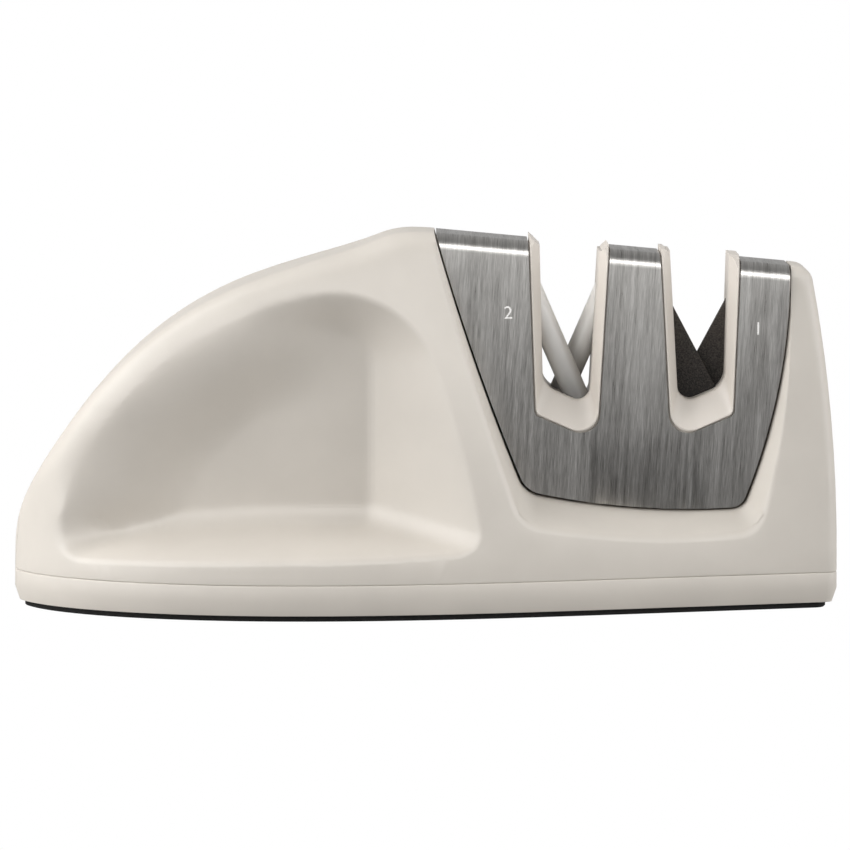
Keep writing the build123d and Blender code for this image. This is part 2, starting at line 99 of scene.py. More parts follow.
MM = 0.001
HOUSING = "housing"
MIDDLE = 0.5  # the middle of a noise
BLACK = (0.0, 0.0, 0.0, 1.0)
WHITE = (1.0, 1.0, 1.0, 1.0)
Colour = tuple[float, float, float]


class Signal:
    """A socket of a material's node tree that takes part in sums."""

    def __init__(self, shader: "Shader", socket: bpy.types.NodeSocket) -> None:
        """Hold a socket.

        Args:
            shader: The shader whose tree the socket is in.
            socket: The output socket.
        """
        self.shader = shader
        self.socket = socket

    def _join(self, operation: str, first: "Value", second: "Value") -> "Signal":
        """Add a Math node.

        Args:
            operation: The node's operation.
            first: Its first value.
            second: Its second value.

        Returns:
            The node's result.
        """
        return self.shader.node("ShaderNodeMath", {"operation": operation}, {0: first, 1: second})

    def __add__(self, other: "Value") -> "Signal":
        """This plus another value."""
        return self._join("ADD", self, other)

    def __radd__(self, other: "Value") -> "Signal":
        """Another value plus this."""
        return self._join("ADD", other, self)

    def __sub__(self, other: "Value") -> "Signal":
        """This less another value."""
        return self._join("SUBTRACT", self, other)

    def __rsub__(self, other: "Value") -> "Signal":
        """Another value less this."""
        return self._join("SUBTRACT", other, self)

    def __rmul__(self, other: "Value") -> "Signal":
        """Another value times this."""
        return self._join("MULTIPLY", other, self)


Value = Signal | float


class Shader:
    """A material and the node tree that makes its look."""

    def __init__(self, name: str) -> None:
        """Make an empty material.

        Args:
            name: The material's name.
        """
        self.material = bpy.data.materials.new(name)
        self.material.use_nodes = True
        self.tree = self.material.node_tree
        self.tree.nodes.clear()

    def node(
        self,
        kind: str,
        settings: Mapping[str, Any] | None = None,
        inputs: Mapping[int | str, Any] | None = None,
        output: int | str = 0,
    ) -> Signal:
        """Add one node.

        Args:
            kind: The node's type.
            settings: Its properties, where stops holds a ramp's places and colours.
            inputs: The values or signals of its sockets.
            output: Which of its outputs to return.

        Returns:
            The chosen output.
        """
        made = self.tree.nodes.new(kind)
        for name, value in (settings or {}).items():
            if name == "stops":
                self._set_stops(made.color_ramp, value)
            else:
                setattr(made, name, value)
        for key, value in (inputs or {}).items():
            if isinstance(value, Signal):
                self.tree.links.new(value.socket, made.inputs[key])
            else:
                made.inputs[key].default_value = value
        return Signal(self, made.outputs[output])

    @staticmethod
    def _set_stops(ramp: bpy.types.ColorRamp, stops: Sequence[tuple[float, Colour]]) -> None:
        """Set a ramp's stops.

        Args:
            ramp: The ramp.
            stops: The place and colour of each stop.
        """
        while len(ramp.elements) < len(stops):
            ramp.elements.new(1.0)
        for element, (place, colour) in zip(ramp.elements, stops):
            element.position = place
            element.color = (*colour, 1.0)

    def place(self, cell: Sequence[float], turn: float = 0.0) -> Signal:
        """Object coordinates in cells of a given size.

        Args:
            cell: The cell's size along X, Y and Z.
            turn: Its turn about Y, in degrees.

        Returns:
            The coordinates.
        """
        spot = self.node("ShaderNodeTexCoord", output="Object")
        return self.node(
            "ShaderNodeMapping",
            {"vector_type": "TEXTURE"},
            {"Vector": spot, "Rotation": (0.0, math.radians(turn), 0.0), "Scale": tuple(cell)},
        )

    def noise(
        self, cell: Sequence[float], detail: float, rough: float = 0.5, turn: float = 0.0
    ) -> Signal:
        """Noise with features of a given size.

        Args:
            cell: The features' size along X, Y and Z.
            detail: How many finer layers it has.
            rough: How strong the finer layers are.
            turn: The pattern's turn about Y, in degrees.

        Returns:
            The noise, about 0.5 on average.
        """
        return self.node(
            "ShaderNodeTexNoise",
            None,
            {"Vector": self.place(cell, turn), "Scale": 1.0, "Detail": detail, "Roughness": rough},
        )

    def height(self, limits: tuple[float, float]) -> Signal:
        """Height as a share of the way between two heights.

        Args:
            limits: The heights of 0 and of 1.

        Returns:
            The share, which goes on past both ends.
        """
        low, high = limits
        cells = self.place(even(high - low))
        return self.node("ShaderNodeSeparateXYZ", None, {"Vector": cells}, "Z") - low / (high - low)

    def ramp(self, factor: Value, stops: Sequence[tuple[float, Colour]]) -> Signal:
        """Colour by factor.

        Args:
            factor: The place along the ramp.
            stops: The place and colour of each stop.

        Returns:
            The colour.
        """
        return self.node("ShaderNodeValToRGB", {"stops": stops}, {"Fac": factor})

    def bump(self, height: Signal, strength: float, depth: float) -> Signal:
        """Normals of a rough surface.

        Args:
            height: The surface's height from 0 to 1.
            strength: How much of the roughness shows.
            depth: The height of 1, in metres.

        Returns:
            The normals.
        """
        return self.node(
            "ShaderNodeBump", None, {"Strength": strength, "Distance": depth, "Height": height}
        )

    def surface(self, **inputs: Any) -> None:
        """Finish the material with a surface.

        Args:
            inputs: The surface's values or signals, with _ for each space of a socket's name.
        """
        named = {key.replace("_", " "): value for key, value in inputs.items()}
        shader = self.node("ShaderNodeBsdfPrincipled", None, named)
        made = self.tree.nodes.new("ShaderNodeOutputMaterial")
        self.tree.links.new(shader.socket, made.inputs["Surface"])


def tinted(colour: Colour, factor: float) -> Colour:
    """A colour made lighter or darker by a factor."""
    return tuple(min(1.0, part * factor) for part in colour)


def shades(
    colour: Colour, places: Sequence[float], factors: Sequence[float]
) -> list[tuple[float, Colour]]:
    """The stops of a ramp through lighter and darker shades of one colour.

    Args:
        colour: The colour.
        places: Where each shade stands on the ramp.
        factors: How light each shade is, where 1 is the colour itself.

    Returns:
        The place and colour of each stop.
    """
    return [(place, tinted(colour, factor)) for place, factor in zip(places, factors)]


def even(size: float) -> tuple[float, float, float]:
    """The same size along all three axes."""
    return (size, size, size)


class Finish:
    """A surface finish whose material is made once."""

    name: str

    def shade(self, shader: Shader) -> None:
        """Build the finish's nodes."""
        raise NotImplementedError

    def material(self) -> bpy.types.Material:
        """The finish's material."""
        found = bpy.data.materials.get(self.name)
        if found is None:
            shader = Shader(self.name)
            self.shade(shader)
            found = shader.material
        return found


@dataclass(frozen=True)
class MouldedPlastic(Finish):
    """Moulded plastic with a fine spark texture and a faint cloudiness."""

    name: str
    colour: Colour
    roughness: float
    specular: float = 0.48
    spark_size: float = 0.22 * MM
    spark_detail: float = 2.0
    spark_rough: float = 0.6
    spark_depth: float = 0.012 * MM
    spark_strength: float = 0.35
    spark_share: float = 0.12
    cloud_size: float = 14.0 * MM
    cloud_detail: float = 3.0
    cloud_places: tuple[float, float] = (0.3, 0.7)
    cloud_shades: tuple[float, float] = (0.97, 1.03)

    def shade(self, shader: Shader) -> None:
        """Build the finish's nodes."""
        cloud = shader.noise(even(self.cloud_size), self.cloud_detail)
        spark = shader.noise(even(self.spark_size), self.spark_detail, self.spark_rough)
        shader.surface(
            Base_Color=shader.ramp(
                cloud, shades(self.colour, self.cloud_places, self.cloud_shades)
            ),
            Roughness=self.roughness + self.spark_share * (spark - MIDDLE),
            Specular_IOR_Level=self.specular,
            Normal=shader.bump(spark, self.spark_strength, self.spark_depth),
        )


@dataclass(frozen=True)
class BrushedSteel(Finish):
    """Stainless sheet brushed along its height, with long fine scratches."""

    name: str
    dark: Colour = (0.27, 0.26, 0.245)
    light: Colour = (0.74, 0.725, 0.70)
    places: tuple[float, float] = (0.32, 0.70)
    scratch_width: float = 0.12 * MM
    scratch_length: float = 4.5 * MM
    scratch_detail: float = 3.0
    scratch_rough: float = 0.7
    scratch_share: float = 0.65
    band_width: float = 0.9 * MM
    band_length: float = 26.0 * MM
    band_detail: float = 2.0
    band_rough: float = 0.6
    band_share: float = 0.35
    slant: float = 3.5
    roughness: float = 0.20
    roughness_share: float = 0.22
    bump_strength: float = 0.30
    bump_depth: float = 0.02 * MM

    def shade(self, shader: Shader) -> None:
        """Build the finish's nodes."""
        fine = shader.noise(
            (self.scratch_width, self.scratch_length, self.scratch_length),
            self.scratch_detail, self.scratch_rough, self.slant,
        )
        band = shader.noise(
            (self.band_width, self.band_length, self.band_length),
            self.band_detail, self.band_rough, self.slant,
        )
        brushed = self.scratch_share * fine + self.band_share * band
        shader.surface(
            Base_Color=shader.ramp(brushed, list(zip(self.places, (self.dark, self.light)))),
            Metallic=1.0,
            Roughness=self.roughness + self.roughness_share * brushed,
            Normal=shader.bump(brushed, self.bump_strength, self.bump_depth),
        )


@dataclass(frozen=True)
class FiredCeramic(Finish):
    """White ceramic rod, ground fine, with painted shade that darkens it towards its foot."""

    name: str
    colour: Colour = (0.95, 0.935, 0.90)
    specular: float = 0.5
    grind_size: float = 0.18 * MM
    grind_detail: float = 3.0
    grind_rough: float = 0.65
    grind_strength: float = 0.25
    grind_depth: float = 0.012 * MM
    roughness: float = 0.34
    roughness_share: float = 0.14
    stain_size: float = 5.0 * MM
    stain_detail: float = 2.0
    stain_share: float = 0.10
    # painted shade: the base colour darkens from the upper height down to the lower, towards the
    # rod's foot in the slot
    shade_heights: tuple[float, float] = (38.0 * MM, 58.0 * MM)
    shade_places: tuple[float, float, float] = (0.05, 0.55, 0.9)
    shade_tones: tuple[float, float, float] = (0.22, 0.74, 1.0)

    def shade(self, shader: Shader) -> None:
        """Build the finish's nodes."""
        grind = shader.noise(even(self.grind_size), self.grind_detail, self.grind_rough)
        stain = shader.noise(even(self.stain_size), self.stain_detail)
        shader.surface(
            # painted shade by height, with random stains on top
            Base_Color=shader.ramp(
                shader.height(self.shade_heights) + self.stain_share * (stain - MIDDLE),
                shades(self.colour, self.shade_places, self.shade_tones),
            ),
            Roughness=self.roughness + self.roughness_share * grind,
            Specular_IOR_Level=self.specular,
            Normal=shader.bump(grind, self.grind_strength, self.grind_depth),
        )


@dataclass(frozen=True)
class SinteredTablet(Finish):
    """Dark sintered tablet with a sandy grain, with painted shade that leaves it lighter towards
    its top and darker towards its foot.
    """

    name: str
    dark: Colour = (0.008, 0.007, 0.006)
    light: Colour = (0.085, 0.072, 0.063)
    places: tuple[float, float] = (0.36, 0.68)
    specular: float = 0.25
    roughness: float = 0.78
    roughness_share: float = 0.3
    grain_size: float = 0.30 * MM
    grain_detail: float = 4.0
    grain_rough: float = 0.75
    grain_strength: float = 0.6
    grain_depth: float = 0.03 * MM
    # painted shade: the base colour grows lighter from the lower height to the upper
    shade_heights: tuple[float, float] = (40.0 * MM, 58.0 * MM)
    shade_share: float = 0.24
    shade_middle: float = 0.4

    def shade(self, shader: Shader) -> None:
        """Build the finish's nodes."""
        grain = shader.noise(even(self.grain_size), self.grain_detail, self.grain_rough)
        # painted shade: lighter towards the top, darker towards the foot
        height_shade = shader.height(self.shade_heights) - self.shade_middle
        shader.surface(
            Base_Color=shader.ramp(
                grain + self.shade_share * height_shade, list(zip(self.places, (self.dark, self.light)))
            ),
            Roughness=self.roughness - self.roughness_share * grain,
            Specular_IOR_Level=self.specular,
            Normal=shader.bump(grain, self.grain_strength, self.grain_depth),
        )


@dataclass(frozen=True)
class MattRubber(Finish):
    """Black rubber pad with a dusty grain."""

    name: str
    dark: Colour = (0.006, 0.006, 0.006)
    light: Colour = (0.022, 0.021, 0.020)
    places: tuple[float, float] = (0.3, 0.75)
    specular: float = 0.3
    roughness: float = 0.70
    roughness_share: float = 0.2
    grain_size: float = 0.35 * MM
    grain_detail: float = 3.0
    grain_rough: float = 0.6
    grain_strength: float = 0.4
    grain_depth: float = 0.03 * MM

    def shade(self, shader: Shader) -> None:
        """Build the finish's nodes."""
        grain = shader.noise(even(self.grain_size), self.grain_detail, self.grain_rough)
        shader.surface(
            Base_Color=shader.ramp(grain, list(zip(self.places, (self.dark, self.light)))),
            Roughness=self.roughness + self.roughness_share * grain,
            Specular_IOR_Level=self.specular,
            Normal=shader.bump(grain, self.grain_strength, self.grain_depth),
        )


@dataclass(frozen=True)
class PlainSteel(Finish):
    """Bare steel with a fine turned or etched grain."""

    name: str
    colour: Colour
    roughness: float
    roughness_share: float = 0.1
    places: tuple[float, float] = (0.3, 0.7)
    grain_shades: tuple[float, float] = (0.9, 1.08)
    grain_size: float = 0.12 * MM
    grain_detail: float = 2.0
    grain_strength: float = 0.3
    grain_depth: float = 0.008 * MM

    def shade(self, shader: Shader) -> None:
        """Build the finish's nodes."""
        grain = shader.noise(even(self.grain_size), self.grain_detail)
        shader.surface(
            Base_Color=shader.ramp(grain, shades(self.colour, self.places, self.grain_shades)),
            Metallic=1.0,
            Roughness=self.roughness + self.roughness_share * grain,
            Normal=shader.bump(grain, self.grain_strength, self.grain_depth),
        )


class Palette(Enum):
    """The finishes of this sharpener."""

    SHELL = MouldedPlastic("shell_soft_touch", (0.62, 0.578, 0.522), 0.42)
    CARTRIDGE = MouldedPlastic("cartridge_moulding", (0.66, 0.612, 0.556), 0.42)
    STEEL = BrushedSteel("saddle_brushed_steel")
    CERAMIC = FiredCeramic("rod_white_ceramic")
    TABLET = SinteredTablet("tablet_dark_grain")
    RUBBER = MattRubber("foot_black_rubber")
    SCREW = PlainSteel("screw_plain_steel", (0.58, 0.58, 0.57), 0.32)
    ETCH = PlainSteel("numeral_etched_steel", (0.80, 0.79, 0.77), 0.55)


def activate(piece: bpy.types.Object) -> None:
    """Select one piece alone and make it the active one."""
    bpy.ops.object.select_all(action="DESELECT")
    piece.select_set(True)
    bpy.context.view_layer.objects.active = piece


def apply(piece: bpy.types.Object, kind: str, **settings: Any) -> None:
    """Add a modifier to a piece and apply it.

    Args:
        piece: The piece.
        kind: The modifier's type.
        settings: The modifier's settings.
    """
    activate(piece)
    modifier = piece.modifiers.new(kind.lower(), kind)
    for name, value in settings.items():
        setattr(modifier, name, value)
    bpy.ops.object.modifier_apply(modifier=modifier.name)


def wear(piece: bpy.types.Object, finish: Palette) -> None:
    """Give a piece one finish all over."""
    piece.data.materials.clear()
    piece.data.materials.append(finish.value.material())


def smooth(piece: bpy.types.Object, angle: float) -> None:
    """Shade a piece smooth across edges that turn less than an angle in degrees."""
    activate(piece)
    bpy.ops.object.shade_smooth_by_angle(angle=math.radians(angle))


def fade(value: float, start: float, full: float) -> float:
    """How far a value has come from a start to a full mark, eased at both ends.

    Args:
        value: The value.
        start: Where it counts as 0.
        full: Where it counts as 1.

    Returns:
        A share from 0 to 1.
    """
    share = min(1.0, max(0.0, (value - start) / (full - start)))
    return share * share * (3.0 - 2.0 * share)


def weigh(piece: bpy.types.Object, rule: Callable[[bmesh.types.BMEdge], float]) -> int:
    """Weigh the edges of a piece for a bevel.

    Args:
        piece: The piece.
        rule: Gives the weight of an edge that joins two faces.

    Returns:
        How many edges have a weight.
    """
    mesh = bmesh.new()
    mesh.from_mesh(piece.data)
    layer = mesh.edges.layers.float.new("bevel_weight_edge")
    count = 0
    for edge in mesh.edges:
        if len(edge.link_faces) == 2:
            edge[layer] = rule(edge)
            count += edge[layer] > 0
    mesh.to_mesh(piece.data)
    mesh.free()
    return count


@dataclass
class Moulding:
    """A piece made from a merged copy of a solid of the frame."""

    frame: Mapping[str, Any]
    merge_distance: float = 0.002 * MM
    smooth_angle: float = 28.0

    def copy(self, node: str, name: str, body: str, slot: str) -> bpy.types.Object:
        """Copy a node, merged and riding on its body in its place.

        Args:
            node: The node of the frame.
            name: The new piece's name.
            body: The body that it rides on.
            slot: The record's material slot; not used.

        Returns:
            The new piece.
        """
        mesh = self.frame["nodes"][node].data.copy()
        mesh.name = name
        piece = bpy.data.objects.new(name, mesh)
        bpy.context.scene.collection.objects.link(piece)
        activate(piece)
        bpy.ops.mesh.customdata_custom_splitnormals_clear()
        bpy.ops.object.mode_set(mode="EDIT")
        bpy.ops.mesh.select_all(action="SELECT")
        bpy.ops.mesh.remove_doubles(threshold=self.merge_distance)
        bpy.ops.object.mode_set(mode="OBJECT")
        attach(piece, body)
        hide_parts(node)
        log.info("%s stands for %s", name, node)
        return piece


@dataclass
class Housing:
    """The shell, the base band and the rubber foot."""

    moulding: Moulding
    # the rim of the recess round the steel, and the seam
    rim_width: float = 1.1 * MM
    rim_segments: int = 4
    rim_angle: float = 25.0
    rim_start: float = 0.6 * MM
    rim_full: float = 4.0 * MM
    side_share: float = 0.55
    wall_shares: tuple[float, float] = (0.05, 0.85)
    seam_width: float = 0.22 * MM
    seam_reach: float = 0.15 * MM
    # the bowl of each scoop: how far its back comes out, and from where to where
    bowl_centre: tuple[float, float] = (-12.0 * MM, 10.0 * MM)
    bowl_radii: tuple[float, float] = (56.0 * MM, 50.0 * MM)
    bowl_back: float = 11.5 * MM
    bowl_rises: tuple[float, float] = (4.0 * MM, 6.4 * MM)
    bowl_climb: tuple[float, float] = (22.0 * MM, 44.0 * MM)
    bowl_shares: tuple[float, float] = (0.60, 0.93)
    bowl_edge: float = 0.99
    bowl_x: tuple[float, float] = (-12.0 * MM, -38.0 * MM)
    bowl_z: tuple[float, float] = (11.5 * MM, 22.0 * MM)
    # the blend of grip and scoop: each pair says where it starts and where it is full
    blend_x: tuple[float, float] = (-8.0 * MM, -46.0 * MM)
    blend_y: tuple[float, float] = (9.0 * MM, 13.0 * MM)
    blend_z: tuple[float, float] = (10.0 * MM, 19.0 * MM)
    blend_inside: tuple[float, float] = (0.62, 1.0)
    blend_outside: tuple[float, float] = (1.07, 1.0)
    blend_least: float = 0.02
    blend_edge: float = 1.2 * MM
    blend_passes: int = 6
    blend_rounds: int = 200
    blend_factor: float = 0.5
    outward_share: float = 0.05
    flat_angle: float = 4.0

    def build(self) -> None:
        """Make the housing's pieces."""
        shell = self.moulding.copy("body_shell", "shell_skin", HOUSING, "shell_plastic")
        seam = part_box("body_shell")[0].z
        self.soften(shell, seam)
        self.blend(shell)
        smooth(shell, self.moulding.smooth_angle)
        wear(shell, Palette.SHELL)
        band = self.moulding.copy("base_tray", "base_band", HOUSING, "shell_plastic")
        self.soften(band, seam)
        smooth(band, self.moulding.smooth_angle)
        wear(band, Palette.SHELL)
        pad = self.moulding.copy("rubber_foot", "foot_pad", HOUSING, "foot_rubber")
        smooth(pad, self.moulding.smooth_angle)
        wear(pad, Palette.RUBBER)

    def soften(self, piece: bpy.types.Object, seam: float) -> None:
        """Round the rim of the recess round the steel and break the outer edge at the seam.

        Args:
            piece: The shell or the band.
            seam: The height of the seam between the two.
        """
        low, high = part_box("steel_saddle")
        face = high.y
        outline = self.outline(piece, seam)

        def rule(edge: bmesh.types.BMEdge) -> float:
            """The weight of an edge: that of the rim grows with its depth."""
            middle = (edge.verts[0].co + edge.verts[1].co) / 2
            angle = edge.calc_face_angle()
            if not edge.is_convex or angle < math.radians(self.rim_angle):
                return 0.0
            if all(abs(vert.co.z - seam) < self.moulding.merge_distance for vert in edge.verts):
                on_outline = self.off_outline(outline, middle) < self.seam_reach
                return self.seam_width / self.rim_width if on_outline else 0.0
            depth = abs(middle.y) - face
            outward = [math.copysign(1.0, middle.y) * link.normal.y for link in edge.link_faces]
            if depth < self.rim_start or middle.x < low.x or max(outward) < self.side_share:
                return 0.0
            if not self.wall_shares[0] < min(outward) < self.wall_shares[1]:
                return 0.0
            return min(1.0, (depth - self.rim_start) / (self.rim_full - self.rim_start))

        log.info("%s has %d softened edges", piece.name, weigh(piece, rule))
        apply(
            piece, "BEVEL", width=self.rim_width, segments=self.rim_segments,
            limit_method="WEIGHT", use_clamp_overlap=False,
        )

    def blend(self, shell: bpy.types.Object) -> None:
        """Let the grip run softly into the upper and the left side of each scoop."""
        self.refine(shell)
        self.fill(shell)
        group = shell.vertex_groups.new(name="blend")
        for vert in shell.data.vertices:
            share = self.blend_share(vert.co)
            if share > 0.0 and self.outward(vert.co, vert.normal):
                group.add([vert.index], share, "REPLACE")
        apply(
            shell, "SMOOTH", factor=self.blend_factor, iterations=self.blend_rounds,
            vertex_group=group.name,
        )
        shell.vertex_groups.clear()

    def outward(self, spot: Vector, normal: Vector) -> bool:
        """Whether a surface at a spot faces the front or the rear on its own side of the shell."""
        return math.copysign(1.0, spot.y) * normal.y > self.outward_share

    def bowl_reach(self, spot: Vector) -> float:
        """How far a spot is from the right foot of a scoop, as a share of the way to its rim."""
        across = max(0.0, self.bowl_centre[0] - spot.x)
        up = max(0.0, spot.z - self.bowl_centre[1])
        return math.hypot(across / self.bowl_radii[0], up / self.bowl_radii[1])

    def blend_share(self, spot: Vector) -> float:
        """How far the blend takes hold at a spot of the shell."""
        reach = self.bowl_reach(spot)
        hold = max(self.blend_least, fade(reach, *self.blend_inside))
        hold *= fade(reach, *self.blend_outside)
        parts = (spot.x, abs(spot.y), spot.z)
        for part, limits in zip(parts, (self.blend_x, self.blend_y, self.blend_z)):
            hold *= fade(part, *limits)
        return hold

    def fill(self, shell: bpy.types.Object) -> None:
        """Bring the back of each scoop out towards its upper and left rim in a shallow bowl."""
        mesh = bmesh.new()
        mesh.from_mesh(shell.data)
        mesh.normal_update()
        low, high = self.bowl_rises
        for vert in mesh.verts:
            reach = self.bowl_reach(vert.co)
            ease = fade(vert.co.x, *self.bowl_x) * fade(vert.co.z, *self.bowl_z)
            rise = low + (high - low) * fade(vert.co.z, *self.bowl_climb)
            depth = self.bowl_back + ease * rise * fade(reach, *self.bowl_shares)
            behind = self.bowl_back - self.seam_reach < abs(vert.co.y) < depth
            held = ease > 0.0 and reach < self.bowl_edge and behind
            if held and self.outward(vert.co, vert.normal):
                vert.co.y = math.copysign(depth, vert.co.y)
        mesh.to_mesh(shell.data)
        mesh.free()

    def refine(self, shell: bpy.types.Object) -> None:
        """Cut the long edges of the shell's outside where the blend takes hold."""
        activate(shell)
        bpy.ops.object.mode_set(mode="EDIT")
        bpy.ops.mesh.select_mode(type="EDGE")
        for _ in range(self.blend_passes):
            bpy.ops.mesh.select_all(action="DESELECT")
            mesh = bmesh.from_edit_mesh(shell.data)
            for edge in mesh.edges:
                edge.select_set(
                    edge.calc_length() > self.blend_edge
                    and any(self.takes_hold(face) for face in edge.link_faces)
                )
            bmesh.update_edit_mesh(shell.data)
            bpy.ops.mesh.subdivide(number_cuts=1)
            bpy.ops.mesh.select_all(action="SELECT")
            bpy.ops.mesh.quads_convert_to_tris(quad_method="BEAUTY", ngon_method="BEAUTY")
            bpy.ops.mesh.beautify_fill(angle_limit=math.radians(self.flat_angle))
        bpy.ops.object.mode_set(mode="OBJECT")
        log.info("%s has %d faces", shell.name, len(shell.data.polygons))

    def takes_hold(self, face: bmesh.types.BMFace) -> bool:
        """Whether the blend can reach a face of the shell's outside."""
        if not self.outward(face.calc_center_median(), face.normal):
            return False
        return min(vert.co.x for vert in face.verts) < self.blend_x[0] and (
            max(vert.co.z for vert in face.verts) > self.bowl_centre[1]
        )

    def outline(self, piece: bpy.types.Object, seam: float) -> list[Vector]:
        """The plan outline of a piece at the seam, which bulges outwards everywhere.

        Args:
            piece: The shell or the band.
            seam: The height of the seam.

        Returns:
            The outline's points in order.
        """
        points = [
            vert.co.xy for vert in piece.data.vertices
            if abs(vert.co.z - seam) < self.moulding.merge_distance
        ]
        return [points[index] for index in convex_hull_2d(points)]

    @staticmethod
    def off_outline(outline: Sequence[Vector], spot: Vector) -> float:
        """How far a spot is from an outline, seen from above."""
        gaps = []
        for start, end in zip(outline, [*outline[1:], outline[0]]):
            near, along = intersect_point_line(spot.xy, start, end)
            if 0.0 <= along <= 1.0:
                gaps.append((spot.xy - near.xy).length)
        return min(gaps, default=math.inf)


@dataclass
class Saddle:
    """The brushed steel sheet folded over the head, and its etched numerals."""

    moulding: Moulding
    edge_width: float = 0.10 * MM
    edge_segments: int = 2
    edge_angle: float = 50.0
    smooth_angle: float = 18.0
    numeral_height: float = 3.4 * MM
    numeral_depth: float = 0.03 * MM
    numeral_x: tuple[float, float] = (15.6 * MM, 62.4 * MM)
    numeral_z: tuple[float, float] = (55.5 * MM, 52.5 * MM)
    numerals: tuple[str, str] = ("2", "1")

    def build(self) -> None:
        """Make the sheet and its numerals."""
        sheet = self.moulding.copy("steel_saddle", "saddle_sheet", HOUSING, "saddle_steel")
        apply(
            sheet, "BEVEL", width=self.edge_width, segments=self.edge_segments,
            limit_method="ANGLE", angle_limit=math.radians(self.edge_angle), use_clamp_overlap=True,
        )
        smooth(sheet, self.smooth_angle)
        wear(sheet, Palette.STEEL)
        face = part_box("steel_saddle")[0].y
        for text, x, z in zip(self.numerals, self.numeral_x, self.numeral_z):
            self.etch(text, Vector((x, face, z)))

    def etch(self, text: str, spot: Vector) -> None:
        """Etch a numeral on the sheet's front.

        Args:
            text: The numeral.
            spot: Its middle, on the sheet's face.
        """
        bpy.ops.object.select_all(action="DESELECT")
        bpy.ops.object.text_add()
        piece = bpy.context.object
        piece.name = f"numeral_{text}"
        piece.data.body = text
        piece.data.size = self.numeral_height
        piece.data.extrude = self.numeral_depth / 2
        piece.data.align_x = "CENTER"
        piece.data.align_y = "CENTER"
        bpy.ops.object.convert(target="MESH")
        piece.rotation_euler = (math.pi / 2, 0.0, 0.0)
        piece.location = spot
        bpy.ops.object.transform_apply(location=True, rotation=True, scale=True)
        wear(piece, Palette.ETCH)
        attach(piece, HOUSING)
        log.info("%s etched at %s", piece.name, tuple(round(part / MM, 1) for part in spot))


@dataclass
class Cartridge:
    """The two moulded halves under the sheet, whose lips line the slots, and the hidden screws."""

    moulding: Moulding
    halves: tuple[str, str] = ("front", "rear")
    screws: tuple[str, str, str] = ("base_screws", "cartridge_screws", "cartridge_mount_screws")
    lip_depth: float = 3.2 * MM
    lip_reach: float = 0.01 * MM
    lip_round: float = 0.45 * MM
    lip_segments: int = 3
    lip_angle: float = 15.0
    lip_tip: float = 16.0 * MM
    lip_steep: float = 0.9

    def build(self) -> None:
        """Make the halves and dress the screws."""
        for half in self.halves:
            piece = self.moulding.copy(
                f"cartridge_{half}_half", f"cartridge_{half}", HOUSING, "cartridge_plastic"
            )
            self.soften(piece)
            smooth(piece, self.moulding.smooth_angle)
            wear(piece, Palette.CARTRIDGE)
        for node in self.screws:
            wear(self.moulding.frame["nodes"][node], Palette.SCREW)

    def soften(self, piece: bpy.types.Object) -> None:
        """Round the edge at which each lip turns into its slot."""
        edge_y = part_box("steel_saddle")[1].y - self.lip_depth
        tip_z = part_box("cartridge_front_half")[1].z - self.lip_tip

        def rule(edge: bmesh.types.BMEdge) -> float:
            """The weight of an edge: all of it on the lips' inner edges, else none."""
            if not edge.is_convex or edge.calc_face_angle() < math.radians(self.lip_angle):
                return 0.0
            first, last = (vert.co.z for vert in edge.verts)
            steep = abs(first - last) >= self.lip_steep * edge.calc_length()
            if min(first, last) > tip_z and not steep:
                return 0.0
            gaps = [abs(abs(vert.co.y) - edge_y) for vert in edge.verts]
            return float(max(gaps) < self.lip_reach)

        log.info("%s has %d softened edges", piece.name, weigh(piece, rule))
        apply(
            piece, "BEVEL", width=self.lip_round, segments=self.lip_segments,
            limit_method="WEIGHT", use_clamp_overlap=False,
        )


@dataclass
class Stages:
    """The ceramic rods of the fine slot and the tablets of the coarse slot."""

    moulding: Moulding
    sides: tuple[str, str] = ("front", "rear")
    tablet_edge: float = 0.12 * MM
    tablet_segments: int = 2
    tablet_angle: float = 18.0

    def build(self) -> None:
        """Make the rods and tablets."""
        for side in self.sides:
            rod = self.moulding.copy(
                f"fine_rod_{side}", f"rod_{side}", f"{side}_rod", "rod_ceramic"
            )
            smooth(rod, self.moulding.smooth_angle)
            wear(rod, Palette.CERAMIC)
            tablet = self.moulding.copy(
                f"coarse_blade_{side}", f"tablet_{side}", HOUSING, "tablet_carbide"
            )
            apply(
                tablet, "BEVEL", width=self.tablet_edge, segments=self.tablet_segments,
                limit_method="ANGLE",
            )
            smooth(tablet, self.tablet_angle)
            wear(tablet, Palette.TABLET)


@dataclass(frozen=True)
class Softbox:
    """A soft light that faces the object, or a card that only shiny surfaces mirror."""

    name: str
    place: tuple[float, float, float]
    size: tuple[float, float]
    power: float
    for_gloss: bool = False

    def hang(self, aim: Vector) -> None:
        """Hang the light so that it faces a point."""
        data = bpy.data.lights.new(self.name, "AREA")
        data.shape = "RECTANGLE"
        data.size, data.size_y = self.size
        data.energy = self.power
        light = bpy.data.objects.new(self.name, data)
        bpy.context.scene.collection.objects.link(light)
        light.visible_diffuse = not self.for_gloss
        light.location = self.place
        light.rotation_euler = (aim - light.location).to_track_quat("-Z", "Y").to_euler()


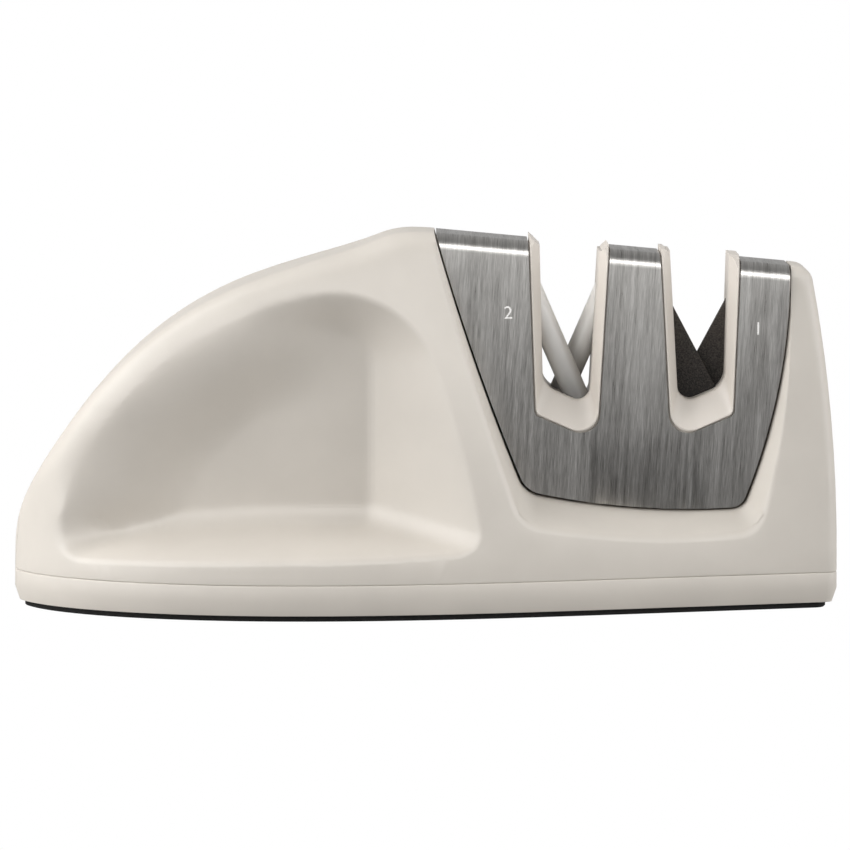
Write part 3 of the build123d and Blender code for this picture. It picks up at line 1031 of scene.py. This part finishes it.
@dataclass
class Studio:
    """White light table, tent of soft light and the camera."""

    camera_place: tuple[float, float, float] = (0.0012, -0.905, 0.1323)
    aim_height: float = 0.0335
    field: float = 0.16106
    sensor: float = 36.0
    floor_size: float = 14.0
    floor_glow: float = 1.0
    floor_colour: Colour = (0.40, 0.40, 0.40)
    tent_front: float = 0.10
    tent_rear: float = 0.42
    tent_turn: tuple[float, float] = (-0.9, 0.5)
    softboxes: tuple[Softbox, ...] = (
        Softbox("softbox_left", (-1.0, -0.1, 0.35), (0.8, 0.8), 2.6),
        Softbox("softbox_left_front", (-0.75, -0.65, 0.35), (0.8, 0.8), 5.7),
        Softbox("softbox_left_high", (-0.7, -0.1, 0.75), (0.8, 0.8), 7.2),
        Softbox("softbox_right", (1.0, -0.2, 0.35), (0.8, 0.8), 7.6),
        Softbox("softbox_right_front", (0.8, -0.6, 0.30), (0.8, 0.8), 1.2),
        Softbox("card_for_the_fold", (0.03, -0.30, 0.23), (0.7, 0.12), 0.9, True),
        Softbox("card_for_the_steel", (0.03, -0.30, 0.14), (0.7, 0.22), 0.36, True),
    )

    def build(self) -> None:
        """Make the floor, the lights and the camera."""
        self.lay_floor()
        self.light_tent()
        for softbox in self.softboxes:
            softbox.hang(Vector((0.0, 0.0, self.aim_height)))
        self.aim_camera()

    def lay_floor(self) -> None:
        """Lay the white sheet that the camera sees and the pale one that bounces soft light."""
        sheet = Shader("floor_white_sheet")
        sheet.surface(
            Base_Color=BLACK, Specular_IOR_Level=0.0,
            Emission_Color=WHITE, Emission_Strength=self.floor_glow,
        )
        bounce = Shader("floor_pale_bounce")
        bounce.surface(Base_Color=(*self.floor_colour, 1.0), Specular_IOR_Level=0.0, Roughness=1.0)
        for shader, seen in ((sheet, True), (bounce, False)):
            bpy.ops.object.select_all(action="DESELECT")
            bpy.ops.mesh.primitive_plane_add(size=self.floor_size)
            floor = bpy.context.object
            floor.name = shader.material.name
            floor.visible_camera = seen
            floor.visible_diffuse = not seen
            floor.visible_shadow = not seen
            floor.visible_glossy = False
            floor.data.materials.append(shader.material)
            floor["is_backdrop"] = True

    def light_tent(self) -> None:
        """Light the scene from all round, least from the camera's side."""
        world = bpy.data.worlds.new("tent")
        bpy.context.scene.world = world
        world.use_nodes = True
        tree = world.node_tree
        tree.nodes.clear()
        coordinates = tree.nodes.new("ShaderNodeTexCoord")
        split = tree.nodes.new("ShaderNodeSeparateXYZ")
        ramp = tree.nodes.new("ShaderNodeMapRange")
        background = tree.nodes.new("ShaderNodeBackground")
        output = tree.nodes.new("ShaderNodeOutputWorld")
        limits = (*self.tent_turn, self.tent_front, self.tent_rear)
        for name, value in zip(("From Min", "From Max", "To Min", "To Max"), limits):
            ramp.inputs[name].default_value = value
        background.inputs["Color"].default_value = WHITE
        tree.links.new(coordinates.outputs["Generated"], split.inputs[0])
        tree.links.new(split.outputs["Y"], ramp.inputs["Value"])
        tree.links.new(ramp.outputs["Result"], background.inputs["Strength"])
        tree.links.new(background.outputs[0], output.inputs["Surface"])

    def aim_camera(self) -> None:
        """Put the camera where the photograph was taken from."""
        data = bpy.data.cameras.new("camera")
        camera = bpy.data.objects.new("camera", data)
        bpy.context.scene.collection.objects.link(camera)
        camera.location = self.camera_place
        aim = Vector((0.0, 0.0, self.aim_height)) - camera.location
        camera.rotation_euler = aim.to_track_quat("-Z", "Y").to_euler()
        data.sensor_width = self.sensor
        data.lens = self.sensor * aim.length / self.field
        bpy.context.scene.camera = camera


def main() -> None:
    """Load the frame, build each sub-assembly in order and measure the sizes."""
    logging.basicConfig(level=logging.INFO, format="%(name)s: %(message)s")
    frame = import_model()
    solid_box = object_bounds()
    bpy.context.scene.view_settings.view_transform = "Standard"
    Studio().build()
    moulding = Moulding(frame)
    for assembly in (Housing(moulding), Saddle(moulding), Cartridge(moulding), Stages(moulding)):
        log.info("building %s", type(assembly).__name__)
        assembly.build()
    boxes = {"cad": solid_box, "visual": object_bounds()}
    {name: [list(corner) for corner in box] for name, box in boxes.items()}


if __name__ == "__main__":
    main()
